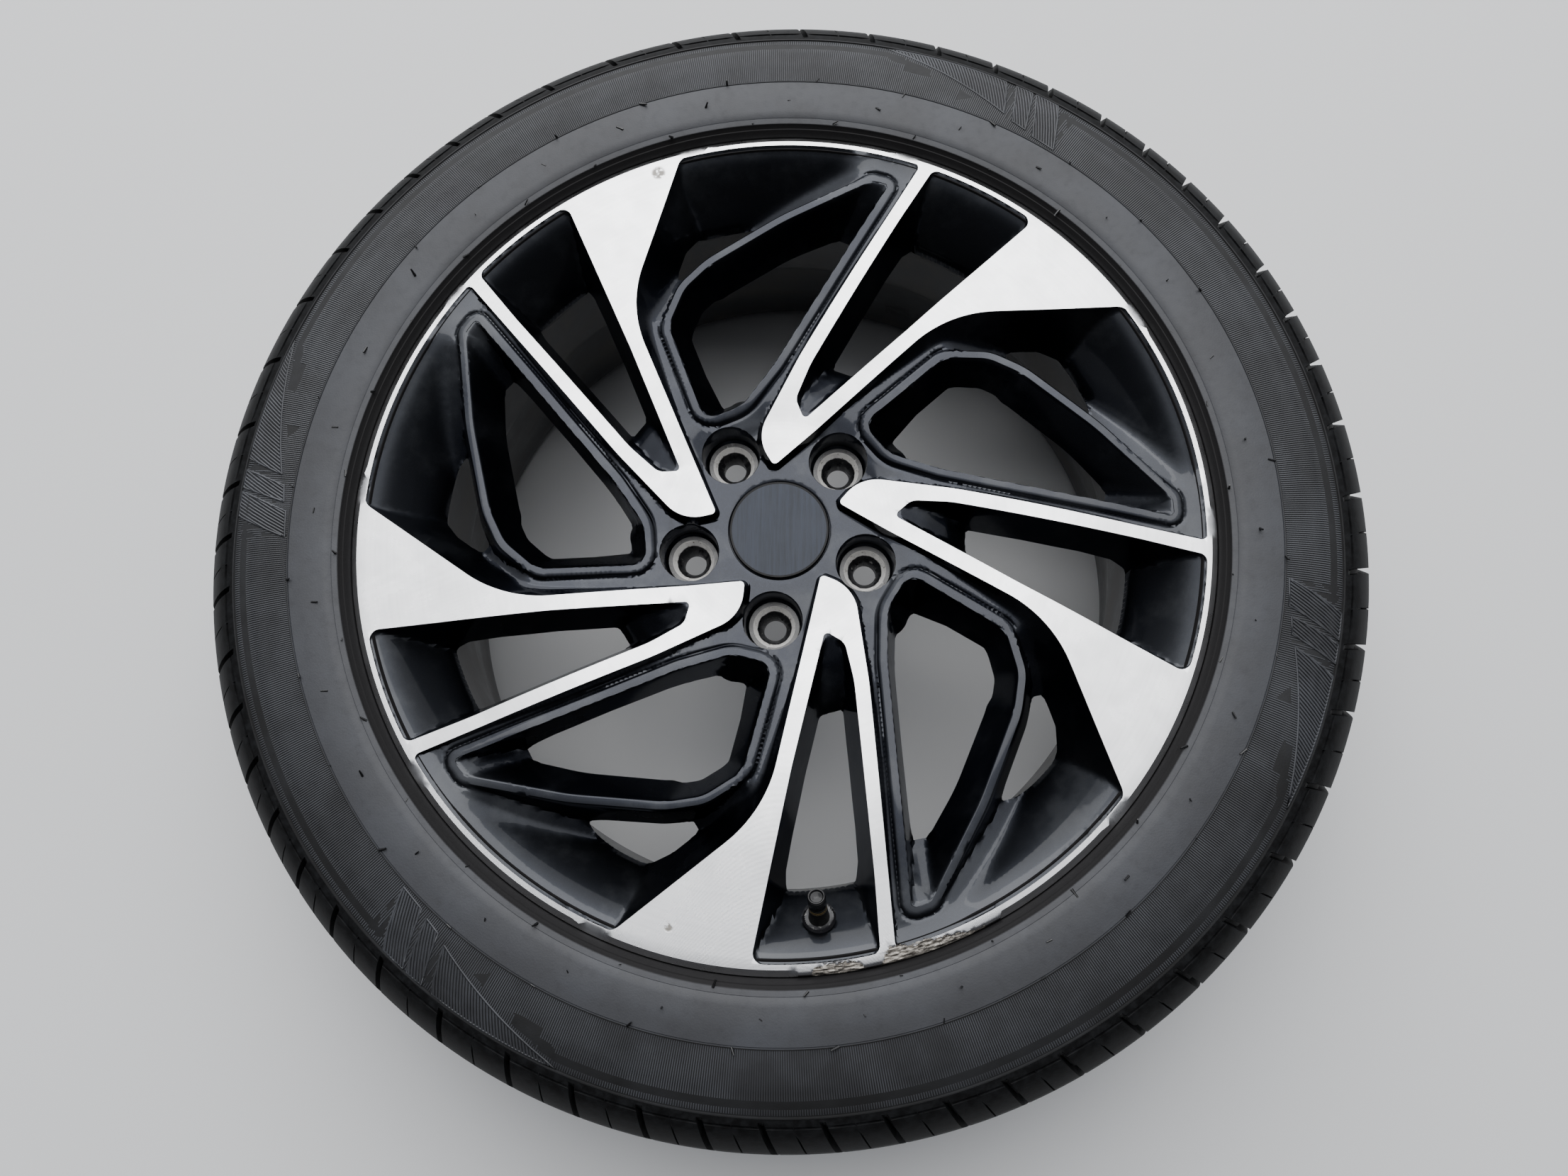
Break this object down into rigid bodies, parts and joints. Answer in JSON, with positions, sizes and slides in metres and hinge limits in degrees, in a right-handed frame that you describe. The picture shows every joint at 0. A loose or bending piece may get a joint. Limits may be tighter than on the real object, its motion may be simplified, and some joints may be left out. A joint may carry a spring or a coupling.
{
  "type": "wheel and tyre assembly",
  "caption": "Cast wheel with machined split spokes and dark painted loops, fitted with a road tyre, a clip-in centre cap and a snap-in valve, lying face up.",
  "frame": {"origin": "middle of the hub mounting face, where the centre bore opens at the wheel's back", "axes": "+Z along the wheel's axis, out of its face; +X to the right and +Y up as the face is seen in the picture"},
  "size_m": [0.7299, 0.73, 0.223],
  "materials": {
    "wheel_metal": "machined bright on the raised faces, blue-black metallic paint elsewhere",
    "tyre_rubber": "matt moulded rubber, lightly dusty",
    "cap_plastic": "gloss",
    "cap_face": "brushed and tinted slate",
    "spring_steel": "drawn wire",
    "valve_black_rubber": "satin",
    "stem_brass": "turned",
    "core_brass": "turned",
    "core_seal_rubber": "satin",
    "pin_brass": "drawn",
    "pin_seal_rubber": "satin",
    "core_spring_steel": "drawn wire",
    "valve_cap_plastic": "satin moulded",
    "valve_cap_rubber": "satin"
  },
  "bodies": {
    "wheel_assembly": {"wheel": "wheel_metal", "tyre": "tyre_rubber", "centre_cap": "cap_plastic", "cap_disc": "cap_face", "cap_spring_ring": "spring_steel", "valve_rubber": "valve_black_rubber", "valve_stem": "stem_brass", "core_body": "core_brass", "core_seal": "core_seal_rubber", "core_spring": "core_spring_steel"},
    "valve_pin": {"core_pin": "pin_brass", "pin_seal": "pin_seal_rubber"},
    "cap_carrier": {"valve_cap_seal": "valve_cap_rubber"},
    "screw_cap": {"valve_cap": "valve_cap_plastic"}
  },
  "joints": [
    {"name": "valve_pin_press", "type": "slide", "parent": "wheel_assembly", "child": "valve_pin", "axis": [0.054, -0.4971, -0.866], "range_m": [0, 0.0012], "stiffness_N_per_m": 1500, "springref_m": -0.0006, "deforming": ["core_spring"]},
    {"name": "valve_cap_lift", "type": "slide", "parent": "wheel_assembly", "child": "cap_carrier", "axis": [-0.054, 0.4971, 0.866], "range_m": [0, 0.00715]},
    {"name": "valve_cap_turn", "type": "hinge", "parent": "cap_carrier", "child": "screw_cap", "pos_m": [0.02506, -0.23064, 0.03243], "axis": [-0.054, 0.4971, 0.866], "range_deg": [0, 3240]}
  ],
  "couplings": [
    {"joint": "valve_cap_turn", "follows": "valve_cap_lift", "rad_per_m": 7913.3}
  ]
}
